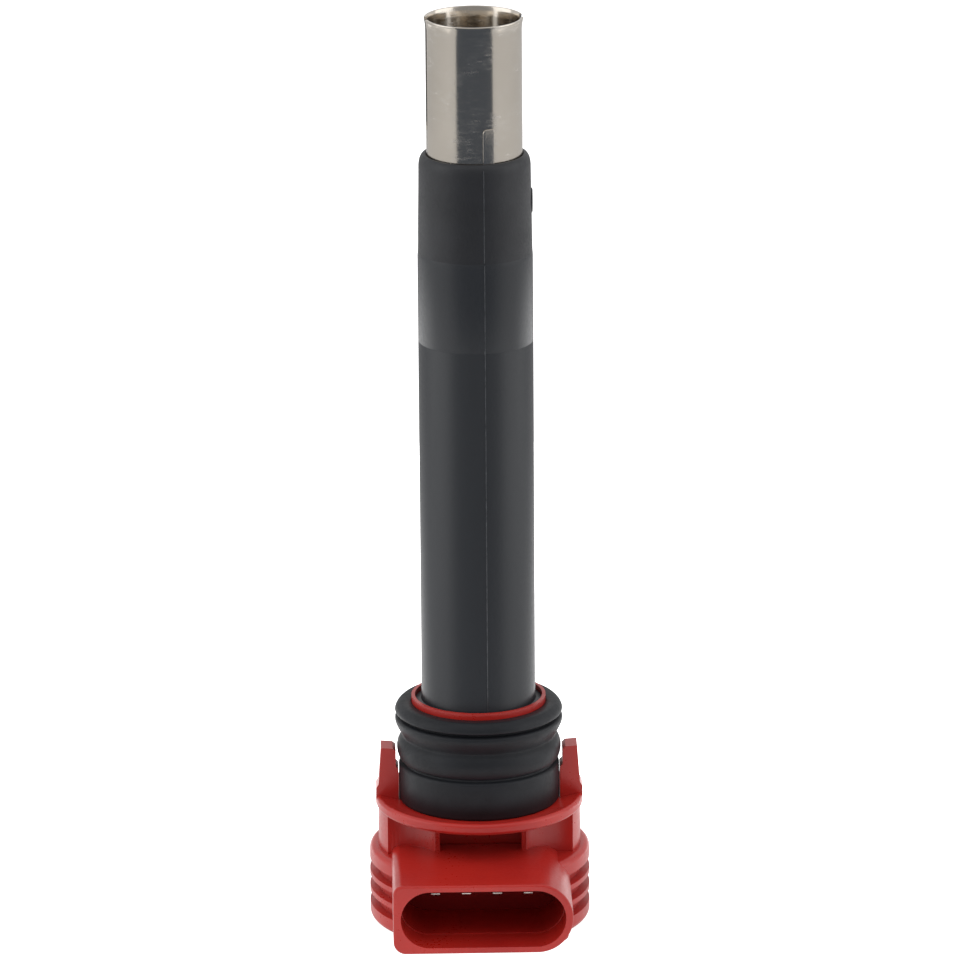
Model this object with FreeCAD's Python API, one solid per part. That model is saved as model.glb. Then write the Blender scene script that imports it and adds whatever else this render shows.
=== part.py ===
import FreeCAD, Part
import math
import os

# Plug-top ignition coil. Millimetres. The origin is the centre of the head's flat end face,
# +Z runs along the coil towards the spark plug, and the connector points to -Y.

V = FreeCAD.Vector
UP = V(0, 0, 1)

# ---------------------------------------------------------------- driving dimensions
# overall
TOTAL_LENGTH = 149.8
TUBE_R = 9.2
RIB_R = 17.85

# clearances
SLIP = 0.05
FIT = 0.10

# head housing: cup with ribs
CUP_WALL = 1.5
CUP_HEIGHT = 12.5
RIB_DEPTH = 1.35
RIB_THICK = 0.85
RIB_PITCH = 2.75
RIB_COUNT = 3
FIRST_RIB_Z = 1.7
BAND_ROUND = 1.1
CUP_ROOF = 1.0

# head cover
COVER_THICK = 1.5
COVER_LEDGE = 0.9

# neck and flange
NECK_HEIGHT = 6.4
NECK_R = 16.4
NECK_FRONT_Y = -6.4
NECK_WALL = 1.3
RECESS_HALF = 6.6
RECESS_Y = -5.3
SCOOP_R = 6.5
SCOOP_X = 13.0
FLANGE_R = 16.8
FLANGE_THICK = 1.85
FLANGE_DISH = 0.75
FLANGE_FLOOR = 1.1

# seal collar of the housing and the tube's root
COLLAR_WALL = 0.55
TUBE_ROOT_STEP = 1.1
COLLAR_HEIGHT = 17.5
ROOT_BELOW_COLLAR = 0.7

# snap arms
ARM_HEIGHT = 8.9
ARM_FRONT_Y = -1.65
ARM_BACK_Y = 2.4
ARM_BASE_OUT = 16.35
ARM_TOP_OUT = 15.9
ARM_BASE_IN = 13.1
ARM_CLEAR_Z = 25.3
ARM_TOP_IN = 13.5

# connector shroud
SHROUD_FRONT_Y = -26.4
SHROUD_WIDTH = 28.8
SHROUD_HEIGHT = 11.55
SHROUD_LOW_Z = 2.35
SHROUD_WALL = 1.05
SHROUD_BACK_WALL = 1.3
SHROUD_TOP_CORNER = 1.5
SHROUD_LOW_CORNER = 2.0
CAVITY_DEPTH = 17.6
MOUTH_DEPTH = 6.5
MOUTH_STEP = 0.12
KEY_RIB_BEHIND = 5.6
KEY_RIB_INSET = 0.6
LOCK_WIDTH = 5.0
LOCK_DEPTH = 2.2
LOCK_HEIGHT = 1.3

# connector blades
BLADE_PITCH = 5.0
BLADE_WIDTH = 1.5
BLADE_THICK = 0.63
BLADE_BEVEL = 0.2
BLADE_Z = 8.8
BLADE_TIP_Y = -15.9
BLADE_INNER_Y = -2.9

# seal
SEAL_HEIGHT = 16.5
SEAL_LIP_R = 13.57
SEAL_LIP_HEIGHT = 1.65
SEAL_SHOULDER_R = 12.62
SEAL_SLOT = 0.85
SEAL_SLOT_R = 12.2
SEAL_WAIST_R = 12.4
SEAL_WAIST_Z = 30.9
SEAL_LOWER_LOBE_R = 13.3
SEAL_LOWER_LOBE_Z = 28.8
SEAL_GROOVE_R = 12.4
SEAL_FOOT_R = 13.0
SEAL_FOOT_HEIGHT = 6.4
SEAL_EDGE = 0.4

# tube and what it holds
TUBE_WALL = 0.9
TUBE_TOP_Z = 111.7
SHIELD_THICK = 0.35
SHIELD_GAP = 0.10
SHIELD_SLIT = 0.8
SHIELD_LENGTH = 74.0
COIL_START_Z = 30.0
CORE_GAP = 0.95
CORE_LENGTH = 62.0
MAGNET_LENGTH = 4.0
BUFFER_LENGTH = 2.0
SECONDARY_BOBBIN_WALL = 0.6
SECONDARY_WIRE_DEPTH = 1.1
SECONDARY_SECTIONS = 6
PRIMARY_BOBBIN_WALL = 0.55
PRIMARY_WIRE_DEPTH = 0.7
BOBBIN_FLANGE = 1.0
WINDING_LENGTH = 60.0
RESIN_TOP_Z = 103.0

# head electronics
BOARD_THICK = 1.2
BOARD_Z = 4.4
BOARD_HALF_X = 11.0
BOARD_BACK_Y = 9.6
BOARD_FRONT_Y = -5.6
CHIP_HEIGHT = 1.1
SWITCH_HEIGHT = 2.3
SPREADER_THICK = 0.9
LEAD_WIRE_R = 0.4
LEAD_WIRE_TURN = 14.0
BLADE_HOLE_R = 0.9
BOARD_CORNER = 1.5
SWITCH_PLACE = (-10.2, -3.7, -0.4, 6.4)
SPREADER_PLACE = (-10.6, -3.0, -0.8, 7.8)
SPREADER_HOLE = (-4.2, 6.9, 0.6)
CHIP_PLACE = (2.6, 7.5, -0.4, 3.5)
CAPACITOR_X = (-7.5, -4.5, 4.0, 7.0)
CAPACITOR_Y = (3.0, 5.5)
CAPACITOR_HALF = 0.8
CAPACITOR_HEIGHT = 1.0

# plug end
SLEEVE_INSET = 1.55
SLEEVE_WALL = 0.45
SLEEVE_ROOT_Z = 106.0
SLEEVE_FLARE = 0.25
SLEEVE_FLARE_LENGTH = 1.7
SLEEVE_SLOT_LENGTH = 17.0
SLEEVE_SLOT_WIDTH = 2.2
SLEEVE_SLOT_TURN = 5.0
END_COLLAR_HEIGHT = 16.0
END_COLLAR_STEP = 0.1
END_COLLAR_TAPER = 0.18
END_COLLAR_LIP = 0.57
VENT_BELOW_TOP = 7.9
VENT_TALL = 4.1
VENT_WIDE = 2.4
VENT_PROUD = 0.3
BOOT_BELOW_RIM = 6.0
BOOT_PLUG_BORE_R = 5.2
BOOT_PLUG_DEPTH = 13.0
BOOT_SPRING_BORE_R = 3.4
HV_TERMINAL_R = 3.0
HV_TERMINAL_HEIGHT = 5.0
RESISTOR_R = 2.3
RESISTOR_LENGTH = 11.0
SPRING_R = 2.3
SPRING_WIRE_R = 0.35
SPRING_LENGTH = 10.4
SPRING_TURNS = 7
CUP_FLANGE_R = 3.0
CUP_NOSE_R = 2.3
CUP_FLANGE_THICK = 0.8
CUP_NOSE_HEIGHT = 1.8
CUP_GUIDE_LENGTH = 3.0

# ---------------------------------------------------------------- derived places
COLLAR_BORE_R = TUBE_R + TUBE_ROOT_STEP
COLLAR_R = COLLAR_BORE_R + COLLAR_WALL
CUP_R = RIB_R - RIB_DEPTH
CAVITY_R = CUP_R - CUP_WALL
COVER_R = CAVITY_R + COVER_LEDGE
NECK_TOP_Z = CUP_HEIGHT + NECK_HEIGHT
FLANGE_TOP_Z = NECK_TOP_Z + FLANGE_THICK
SEAT_Z = FLANGE_TOP_Z - FLANGE_DISH
TUBE_START_Z = NECK_TOP_Z + FLANGE_FLOOR
COLLAR_TOP_Z = SEAT_Z + COLLAR_HEIGHT
TUBE_ROOT_TOP_Z = COLLAR_TOP_Z - ROOT_BELOW_COLLAR
TUBE_BORE_R = TUBE_R - TUBE_WALL
SLEEVE_R = TUBE_R - SLEEVE_INSET
END_COLLAR_BASE_R = TUBE_R - END_COLLAR_STEP
END_COLLAR_TOP_R = END_COLLAR_BASE_R - END_COLLAR_TAPER
END_COLLAR_LIP_R = END_COLLAR_TOP_R - END_COLLAR_LIP

SHROUD_TOP_Z = SHROUD_LOW_Z + SHROUD_HEIGHT
CAVITY_BACK_Y = SHROUD_FRONT_Y + CAVITY_DEPTH
INNER_FRONT_Y = CAVITY_BACK_Y + SHROUD_BACK_WALL
PASSAGE_FRONT_Y = RECESS_Y + NECK_WALL
PASSAGE_R = COLLAR_BORE_R - 2.4

OUTER_SHIELD_R = TUBE_BORE_R - SHIELD_GAP
INNER_SHIELD_R = OUTER_SHIELD_R - SHIELD_THICK - SHIELD_GAP
PRIMARY_WINDING_R = INNER_SHIELD_R - SHIELD_THICK - 2 * SHIELD_GAP
PRIMARY_BOBBIN_R = PRIMARY_WINDING_R - PRIMARY_WIRE_DEPTH
PRIMARY_BORE_R = PRIMARY_BOBBIN_R - PRIMARY_BOBBIN_WALL
SECONDARY_WINDING_R = PRIMARY_BORE_R - 2 * SHIELD_GAP
SECONDARY_BOBBIN_R = SECONDARY_WINDING_R - SECONDARY_WIRE_DEPTH
SECONDARY_BORE_R = SECONDARY_BOBBIN_R - SECONDARY_BOBBIN_WALL
CORE_R = SECONDARY_BORE_R - CORE_GAP
COIL_LENGTH = WINDING_LENGTH + 2 * BOBBIN_FLANGE
COIL_END_Z = COIL_START_Z + COIL_LENGTH
CORE_STACK = CORE_LENGTH + 2 * MAGNET_LENGTH + 2 * BUFFER_LENGTH
CORE_START_Z = COIL_START_Z + (COIL_LENGTH - CORE_STACK) / 2
SHIELD_START_Z = COIL_START_Z + (COIL_LENGTH - SHIELD_LENGTH) / 2

BOOT_TOP_Z = TOTAL_LENGTH - BOOT_BELOW_RIM
END_COLLAR_TOP_Z = TUBE_TOP_Z + END_COLLAR_HEIGHT
RESISTOR_Z = RESIN_TOP_Z + HV_TERMINAL_HEIGHT / 2
SPRING_Z = RESISTOR_Z + RESISTOR_LENGTH
CUP_Z = SPRING_Z + SPRING_LENGTH

SAVED = {}


# ---------------------------------------------------------------- solid helpers
def cylinder(radius, z_low, z_high, x=0.0, y=0.0):
    return Part.makeCylinder(radius, z_high - z_low, V(x, y, z_low), UP)


def ring(outer, inner, z_low, z_high):
    return cylinder(outer, z_low, z_high).cut(cylinder(inner, z_low - 1, z_high + 1))


def block(x_low, x_high, y_low, y_high, z_low, z_high):
    return Part.makeBox(x_high - x_low, y_high - y_low, z_high - z_low, V(x_low, y_low, z_low))


def lathe(edges):
    """Turn a closed outline of (r, z) edges about the Z axis."""
    face = Part.Face(Part.Wire(edges))
    return face.revolve(V(0, 0, 0), UP, 360)


def rz(radius, z):
    return V(radius, 0, z)


def outline(points):
    """Edges through (r, z) points, closed. A point given as a triple (r, z, "via")
    is the middle of a circular arc between its neighbours."""
    edges = []
    count = len(points)
    index = 0
    while index < count:
        start = points[index]
        middle = points[(index + 1) % count]
        if len(middle) == 3:
            end = points[(index + 2) % count]
            arc = Part.Arc(rz(*start[:2]), rz(*middle[:2]), rz(*end[:2]))
            edges.append(arc.toShape())
            index += 2
        else:
            edges.append(Part.makeLine(rz(*start[:2]), rz(*middle[:2])))
            index += 1
    return edges


def turned(points):
    return lathe(outline(points))


def along_y(wire_edges, y_low, y_high):
    """Extrude a closed outline drawn in the XZ plane at y = 0 from y_low to y_high."""
    face = Part.Face(Part.Wire(wire_edges))
    solid = face.extrude(V(0, y_high - y_low, 0))
    solid.translate(V(0, y_low, 0))
    return solid


def plate_outline(x_low, x_high, z_low, z_high, radii):
    """Rounded rectangle in XZ. radii are for low-left, low-right, top-right, top-left."""
    low_left, low_right, top_right, top_left = radii
    corners = [
        (x_low, z_low, low_left, 180),
        (x_high, z_low, low_right, 270),
        (x_high, z_high, top_right, 0),
        (x_low, z_high, top_left, 90),
    ]
    arcs = []
    for corner_x, corner_z, radius, start in corners:
        centre_x = corner_x + radius if corner_x == x_low else corner_x - radius
        centre_z = corner_z + radius if corner_z == z_low else corner_z - radius
        points = []
        for turn in (0, 45, 90):
            angle = math.radians(start + turn)
            points.append(V(centre_x + radius * math.cos(angle), 0,
                            centre_z + radius * math.sin(angle)))
        arcs.append(points)
    edges = []
    for index, points in enumerate(arcs):
        edges.append(Part.Arc(*points).toShape())
        following = arcs[(index + 1) % 4][0]
        if points[2].distanceToPoint(following) > 1e-6:
            edges.append(Part.makeLine(points[2], following))
    return edges


def stadium_outline(half_width, z_low, z_high, x=0.0):
    radius = (z_high - z_low) / 2
    return plate_outline(x - half_width, x + half_width, z_low, z_high, [radius] * 4)


def both_sides(solid):
    """The solid and its mirror image across the YZ plane."""
    return [solid, solid.mirror(V(0, 0, 0), V(1, 0, 0))]


def fuse(first, others):
    return first.multiFuse(others).removeSplitter()


def save(name, shape):
    shape.exportStep("parts/" + name + ".step")
    SAVED[name] = shape
    print(name, round(shape.Volume, 2), "valid", shape.isValid(), "solids", len(shape.Solids))


# ---------------------------------------------------------------- head housing
def cup_with_ribs():
    """Outer skin of the cup: three thin ribs between two rounded bands."""
    top = CUP_HEIGHT
    band_low = FIRST_RIB_Z + RIB_COUNT * RIB_PITCH
    bevel = BAND_ROUND * (1 - math.sqrt(0.5))
    points = [
        (0, 0),
        (RIB_R - BAND_ROUND, 0),
        (RIB_R - bevel, bevel, "via"),
        (RIB_R, BAND_ROUND),
        (RIB_R, FIRST_RIB_Z + RIB_THICK),
    ]
    for index in range(1, RIB_COUNT):
        rib_z = FIRST_RIB_Z + index * RIB_PITCH
        points += [(CUP_R, rib_z - RIB_PITCH + RIB_THICK + 0.1), (CUP_R, rib_z - 0.1)]
        points += [(RIB_R, rib_z), (RIB_R, rib_z + RIB_THICK)]
    points += [(CUP_R, band_low - RIB_PITCH + RIB_THICK + 0.1), (CUP_R, band_low - 0.1)]
    points += [(RIB_R, band_low), (RIB_R, top - BAND_ROUND)]
    points += [(RIB_R - bevel, top - bevel, "via"), (RIB_R - BAND_ROUND, top), (0, top)]
    return turned(points)


def neck():
    """Neck cut back in front: a centre recess between two gussets, each with a scoop outside it."""
    low = CUP_HEIGHT - 0.5
    body = cylinder(NECK_R, low, NECK_TOP_Z + 0.1)
    scoop = cylinder(SCOOP_R, CUP_HEIGHT, NECK_TOP_Z, SCOOP_X, NECK_FRONT_Y - SCOOP_R)
    for side in both_sides(scoop):
        body = body.cut(side)
    front = block(-SCOOP_X, SCOOP_X, -NECK_R - 1, NECK_FRONT_Y - SCOOP_R / 2, CUP_HEIGHT, NECK_TOP_Z)
    recess = block(-RECESS_HALF, RECESS_HALF, -NECK_R - 1, RECESS_Y, CUP_HEIGHT, NECK_TOP_Z)
    return [body.cut(front).cut(recess)]


def flange():
    edge = FLANGE_THICK * 0.35
    corner = edge * (1 - math.sqrt(0.5))
    return turned([
        (0, NECK_TOP_Z),
        (FLANGE_R - edge, NECK_TOP_Z),
        (FLANGE_R - corner, NECK_TOP_Z + corner, "via"),
        (FLANGE_R, NECK_TOP_Z + edge),
        (FLANGE_R, FLANGE_TOP_Z - edge),
        (FLANGE_R - corner, FLANGE_TOP_Z - corner, "via"),
        (FLANGE_R - edge, FLANGE_TOP_Z),
        (SEAL_FOOT_R + 0.2, SEAT_Z),
        (0, SEAT_Z),
    ])


def snap_arm():
    """The arm on the +X side, drawn in XZ and extruded across Y."""
    foot = FLANGE_TOP_Z + 1.2
    top = SEAT_Z + ARM_HEIGHT
    low = SEAT_Z - 0.6
    corners = [
        (ARM_BASE_IN, low),
        (FLANGE_R - 0.05, low),
        (FLANGE_R - 0.05, foot),
        (ARM_BASE_OUT, foot + 0.7),
        (ARM_TOP_OUT, top),
        (ARM_TOP_IN + 0.5, top - 0.15),
        (ARM_TOP_IN, top - 0.6),
        (ARM_TOP_IN, ARM_CLEAR_Z + 0.4),
        (ARM_BASE_IN, ARM_CLEAR_Z),
    ]
    points = [V(x, 0, z) for x, z in corners]
    edges = []
    for index, point in enumerate(points):
        edges.append(Part.makeLine(point, points[(index + 1) % len(points)]))
    return along_y(edges, ARM_FRONT_Y, ARM_BACK_Y)


def shroud_body():
    half = SHROUD_WIDTH / 2
    end = SHROUD_HEIGHT / 2
    front = plate_outline(-half, half, SHROUD_LOW_Z, SHROUD_TOP_Z,
                          [SHROUD_LOW_CORNER, end, end, SHROUD_TOP_CORNER])
    rear = plate_outline(-half, half - KEY_RIB_INSET, SHROUD_LOW_Z, SHROUD_TOP_Z,
                         [SHROUD_LOW_CORNER, SHROUD_LOW_CORNER / 2, end - KEY_RIB_INSET, SHROUD_TOP_CORNER])
    front_part = along_y(front, SHROUD_FRONT_Y, NECK_FRONT_Y)
    lip = min(0.35, SHROUD_WALL / 3)
    mouth_edges = [edge for edge in front_part.Edges
                   if edge.BoundBox.YMax < SHROUD_FRONT_Y + 0.01]
    front_part = front_part.makeFillet(lip, mouth_edges)
    key_y = SHROUD_FRONT_Y + KEY_RIB_BEHIND
    reach = -math.sqrt(CUP_R ** 2 - (half - KEY_RIB_INSET) ** 2)
    rear_part = along_y(rear, key_y, reach)
    return [front_part, rear_part]


def shroud_cavity():
    half = SHROUD_WIDTH / 2 - SHROUD_WALL - MOUTH_STEP
    low = SHROUD_LOW_Z + SHROUD_WALL
    high = SHROUD_TOP_Z - SHROUD_WALL
    deep = along_y(stadium_outline(half - MOUTH_STEP, low + MOUTH_STEP, high - MOUTH_STEP),
                   SHROUD_FRONT_Y - 1, CAVITY_BACK_Y)
    mouth = along_y(stadium_outline(half, low, high),
                    SHROUD_FRONT_Y - 1, SHROUD_FRONT_Y + MOUTH_DEPTH)
    return [deep, mouth]


def lock_ramp():
    """The ramp under the shroud that the plug's latch snaps over."""
    high = SHROUD_LOW_Z + 0.1
    points = [
        V(0, SHROUD_FRONT_Y + 2.0, high),
        V(0, SHROUD_FRONT_Y + 2.0 + LOCK_DEPTH, high - LOCK_HEIGHT),
        V(0, SHROUD_FRONT_Y + 3.0 + LOCK_DEPTH, high - LOCK_HEIGHT),
        V(0, SHROUD_FRONT_Y + 3.0 + LOCK_DEPTH, high),
    ]
    edges = []
    for index, point in enumerate(points):
        edges.append(Part.makeLine(point, points[(index + 1) % 4]))
    solid = Part.Face(Part.Wire(edges)).extrude(V(LOCK_WIDTH, 0, 0))
    solid.translate(V(-LOCK_WIDTH / 2, 0, 0))
    return solid


def head_space():
    """Everything hollow inside the head: cover seat, electronics space and wire passage."""
    roof = CUP_HEIGHT - CUP_ROOF
    seat = cylinder(COVER_R, -1, COVER_THICK)
    lower = cylinder(CAVITY_R, -1, SHROUD_LOW_Z - SHROUD_WALL)
    room = cylinder(CAVITY_R, 0, roof)
    room = room.cut(block(-RIB_R, RIB_R, -RIB_R, INNER_FRONT_Y, -1, roof + 1))
    passage = cylinder(PASSAGE_R, roof - 1, TUBE_START_Z + 1)
    passage = passage.cut(block(-RIB_R, RIB_R, -RIB_R, PASSAGE_FRONT_Y, 0, TUBE_START_Z + 2))
    return [seat, lower, room, passage]


def head_housing():
    outside = [flange(), cylinder(COLLAR_R, SEAT_Z - 0.5, COLLAR_TOP_Z)]
    outside += neck()
    outside += both_sides(snap_arm())
    outside += shroud_body()
    outside.append(lock_ramp())
    solid = fuse(cup_with_ribs(), outside)
    bore = cylinder(COLLAR_BORE_R, TUBE_START_Z, COLLAR_TOP_Z + 1)
    solid = solid.cut(bore)
    for space in shroud_cavity() + head_space():
        solid = solid.cut(space)
    for index in range(4):
        solid = solid.cut(blade_bar(index, INNER_FRONT_Y + 0.5))
    return solid


# ---------------------------------------------------------------- connector blades
def blade_x(index):
    return (index - 1.5) * BLADE_PITCH


def blade_bar(index, y_end):
    x = blade_x(index)
    return block(x - BLADE_WIDTH / 2, x + BLADE_WIDTH / 2, BLADE_TIP_Y, y_end,
                 BLADE_Z - BLADE_THICK / 2, BLADE_Z + BLADE_THICK / 2)


def blade(index):
    """A blade with a bevelled tip and a leg that goes down through the board."""
    x = blade_x(index)
    bar = blade_bar(index, BLADE_INNER_Y)
    tip = [edge for edge in bar.Edges
           if edge.BoundBox.YMax < BLADE_TIP_Y + 0.01 and edge.BoundBox.XLength > 0.1]
    bar = bar.makeChamfer(BLADE_BEVEL, tip)
    leg = block(x - BLADE_WIDTH / 2 + 0.25, x + BLADE_WIDTH / 2 - 0.25,
                BLADE_INNER_Y - BLADE_THICK, BLADE_INNER_Y,
                BOARD_Z - 0.7, BLADE_Z)
    return fuse(bar, [leg])


# ---------------------------------------------------------------- head electronics
def board_holes():
    holes = []
    for index in range(4):
        holes.append(cylinder(BLADE_HOLE_R, BOARD_Z - 1, BOARD_Z + BOARD_THICK + 1,
                              blade_x(index), BLADE_INNER_Y - BLADE_THICK / 2))
    for x, y in lead_places():
        holes.append(cylinder(LEAD_WIRE_R + FIT, BOARD_Z - 1, BOARD_Z + BOARD_THICK + 1, x, y))
    return holes


def driver_board():
    board = block(-BOARD_HALF_X, BOARD_HALF_X, BOARD_FRONT_Y, BOARD_BACK_Y,
                  BOARD_Z, BOARD_Z + BOARD_THICK)
    uprights = [edge for edge in board.Edges if edge.BoundBox.ZLength > BOARD_THICK / 2]
    board = board.makeFillet(BOARD_CORNER, uprights)
    for hole in board_holes():
        board = board.cut(hole)
    return board


def power_switch():
    top = BOARD_Z + BOARD_THICK
    return block(*SWITCH_PLACE, top, top + SWITCH_HEIGHT)


def heat_spreader():
    low = BOARD_Z + BOARD_THICK + SWITCH_HEIGHT
    plate = block(*SPREADER_PLACE, low, low + SPREADER_THICK)
    x, y, radius = SPREADER_HOLE
    return plate.cut(cylinder(radius, low - 1, low + SPREADER_THICK + 1, x, y))


def driver_chip():
    top = BOARD_Z + BOARD_THICK
    return block(*CHIP_PLACE, top, top + CHIP_HEIGHT)


def board_capacitors():
    low = BOARD_Z - CAPACITOR_HEIGHT
    parts = []
    for x in CAPACITOR_X:
        parts.append(block(x - CAPACITOR_HALF, x + CAPACITOR_HALF, *CAPACITOR_Y, low, BOARD_Z))
    return Part.makeCompound(parts)


def lead_places():
    """The wires stand under the head end of the primary winding, either side of +Y."""
    reach = (PRIMARY_WINDING_R + PRIMARY_BOBBIN_R) / 2
    turns = [math.radians(90 + side * LEAD_WIRE_TURN) for side in (-1, 1)]
    return [(reach * math.cos(turn), reach * math.sin(turn)) for turn in turns]


def lead_wires():
    """Two wires from the board to the head end of the primary winding."""
    return Part.makeCompound([cylinder(LEAD_WIRE_R, BOARD_Z - 0.5, COIL_START_Z, x, y)
                              for x, y in lead_places()])


# ---------------------------------------------------------------- seal
def flange_seal():
    """Foot, lower lobe, upper lobe and lip, with a sharp groove under the lip and above the foot."""
    low = SEAT_Z
    top = low + SEAL_HEIGHT
    foot = low + SEAL_FOOT_HEIGHT
    lip = top - SEAL_LIP_HEIGHT
    inner = COLLAR_R + SLIP
    return turned([
        (inner, low),
        (SEAL_FOOT_R - SEAL_EDGE, low),
        (SEAL_FOOT_R, low + SEAL_EDGE),
        (SEAL_FOOT_R, foot - SEAL_EDGE),
        (SEAL_FOOT_R - SEAL_EDGE * 0.3, foot - SEAL_EDGE * 0.3, "via"),
        (SEAL_FOOT_R - SEAL_EDGE, foot),
        (SEAL_GROOVE_R, foot + 0.1),
        (SEAL_GROOVE_R, foot + 0.4),
        (SEAL_LOWER_LOBE_R - 0.5, foot + 0.65),
        (SEAL_LOWER_LOBE_R, SEAL_LOWER_LOBE_Z, "via"),
        (SEAL_WAIST_R + 0.2, SEAL_WAIST_Z - 0.1),
        (SEAL_WAIST_R, SEAL_WAIST_Z),
        (SEAL_LIP_R - 0.2, lip - SEAL_SLOT - 0.7),
        (SEAL_LIP_R, lip - SEAL_SLOT - 0.3, "via"),
        (SEAL_LIP_R - 0.25, lip - SEAL_SLOT),
        (SEAL_SLOT_R, lip - SEAL_SLOT + 0.05),
        (SEAL_SLOT_R, lip - 0.1),
        (SEAL_LIP_R - 0.15, lip),
        (SEAL_LIP_R - 0.02, lip + 0.12, "via"),
        (SEAL_LIP_R, lip + 0.3),
        (SEAL_LIP_R - 0.24, top - 0.85, "via"),
        (SEAL_SHOULDER_R + 0.13, top - 0.15),
        (SEAL_SHOULDER_R, top),
        (inner, top),
    ])


# ---------------------------------------------------------------- tube and windings
def coil_tube():
    body = cylinder(TUBE_R, TUBE_START_Z, TUBE_TOP_Z)
    root = cylinder(COLLAR_BORE_R - SLIP, TUBE_START_Z, TUBE_ROOT_TOP_Z)
    return fuse(body, [root]).cut(cylinder(TUBE_BORE_R, TUBE_START_Z - 1, TUBE_TOP_Z + 1))


def shield(outer_r, slit_side):
    """A rolled steel sheet with one open slit along it."""
    inner_r = outer_r - SHIELD_THICK
    body = ring(outer_r, inner_r, SHIELD_START_Z, SHIELD_START_Z + SHIELD_LENGTH)
    low_y, high_y = (0, outer_r + 1) if slit_side > 0 else (-outer_r - 1, 0)
    return body.cut(block(-SHIELD_SLIT / 2, SHIELD_SLIT / 2, low_y, high_y,
                          SHIELD_START_Z - 1, SHIELD_START_Z + SHIELD_LENGTH + 1))


def bobbin(body_r, bore_r, flange_r, sections):
    """A winding former: a tube with end flanges and thin walls between its sections."""
    body = ring(body_r, bore_r, COIL_START_Z, COIL_END_Z)
    walls = [ring(flange_r, bore_r, COIL_START_Z, COIL_START_Z + BOBBIN_FLANGE),
             ring(flange_r, bore_r, COIL_END_Z - BOBBIN_FLANGE, COIL_END_Z)]
    for z_low in section_walls(sections):
        walls.append(ring(flange_r, bore_r, z_low, z_low + section_wall_thick()))
    return fuse(body, walls)


def section_wall_thick():
    return BOBBIN_FLANGE / 2


def section_walls(sections):
    pitch = WINDING_LENGTH / sections
    return [COIL_START_Z + BOBBIN_FLANGE + pitch * index - section_wall_thick() / 2
            for index in range(1, sections)]


def winding(outer_r, inner_r, sections):
    """Enamelled wire, as one solid for each wound section."""
    starts = [COIL_START_Z + BOBBIN_FLANGE]
    starts += [z + section_wall_thick() for z in section_walls(sections)]
    ends = section_walls(sections) + [COIL_END_Z - BOBBIN_FLANGE]
    return Part.makeCompound([ring(outer_r, inner_r, low, high) for low, high in zip(starts, ends)])


def core_pieces():
    """Core rod, its two magnets and its two buffers, in line along the bobbin."""
    z = CORE_START_Z
    levels = [z]
    for length in (BUFFER_LENGTH, MAGNET_LENGTH, CORE_LENGTH, MAGNET_LENGTH, BUFFER_LENGTH):
        levels.append(levels[-1] + length)
    pieces = [cylinder(CORE_R, low, high) for low, high in zip(levels[:-1], levels[1:])]
    buffers = Part.makeCompound([pieces[0], pieces[4]])
    magnets = Part.makeCompound([pieces[1], pieces[3]])
    return pieces[2], magnets, buffers


# ---------------------------------------------------------------- plug end
def hv_terminal():
    """Brass cup: its lower half is cast in, its upper half holds the resistor."""
    low = RESIN_TOP_Z - HV_TERMINAL_HEIGHT / 2
    body = cylinder(HV_TERMINAL_R, low, low + HV_TERMINAL_HEIGHT)
    return body.cut(cylinder(RESISTOR_R, RESISTOR_Z - HV_TERMINAL_HEIGHT / 2, low + HV_TERMINAL_HEIGHT + 1))


def suppression_resistor():
    return cylinder(RESISTOR_R, RESIN_TOP_Z, SPRING_Z)


def contact_spring():
    pitch = (SPRING_LENGTH - 2 * SPRING_WIRE_R) / SPRING_TURNS
    low = SPRING_Z + SPRING_WIRE_R
    helix = Part.makeHelix(pitch, pitch * SPRING_TURNS, SPRING_R)
    helix.translate(V(0, 0, low))
    section = Part.Wire(Part.makeCircle(SPRING_WIRE_R, V(SPRING_R, 0, low), V(0, 1, 0)))
    return Part.Wire(helix.Edges).makePipeShell([section], True, True)


def contact_cup():
    guide_r = SPRING_R - SPRING_WIRE_R - FIT
    flange_top = CUP_Z + CUP_FLANGE_THICK
    return turned([
        (0, CUP_Z - CUP_GUIDE_LENGTH),
        (guide_r, CUP_Z - CUP_GUIDE_LENGTH),
        (guide_r, CUP_Z),
        (CUP_FLANGE_R, CUP_Z),
        (CUP_FLANGE_R, flange_top),
        (CUP_NOSE_R, flange_top),
        (CUP_NOSE_R, flange_top + CUP_NOSE_HEIGHT - 0.4),
        (CUP_NOSE_R - 0.4, flange_top + CUP_NOSE_HEIGHT),
        (CUP_NOSE_R - 0.8, flange_top + CUP_NOSE_HEIGHT),
        (0, flange_top + CUP_NOSE_HEIGHT - 0.8),
    ])


def plug_boot():
    """Silicone insulator: a foot in the tube, a body inside the sleeve and the plug's bore."""
    body_r = SLEEVE_R - SLEEVE_WALL - SLIP
    foot = cylinder(TUBE_BORE_R - SLIP, RESIN_TOP_Z, SLEEVE_ROOT_Z)
    body = cylinder(body_r, SLEEVE_ROOT_Z, BOOT_TOP_Z)
    lip = [edge for edge in body.Edges if edge.BoundBox.ZMin > BOOT_TOP_Z - 0.01]
    body = body.makeFillet(0.6, lip)
    solid = fuse(foot, [body])
    solid = solid.cut(cylinder(BOOT_PLUG_BORE_R, BOOT_TOP_Z - BOOT_PLUG_DEPTH, BOOT_TOP_Z + 1))
    solid = solid.cut(cylinder(BOOT_SPRING_BORE_R, SPRING_Z, BOOT_TOP_Z))
    solid = solid.cut(cylinder(RESISTOR_R, RESIN_TOP_Z - 1, SPRING_Z + 1))
    return solid.cut(cylinder(HV_TERMINAL_R, RESIN_TOP_Z - 1, RESIN_TOP_Z + HV_TERMINAL_HEIGHT / 2))


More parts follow.
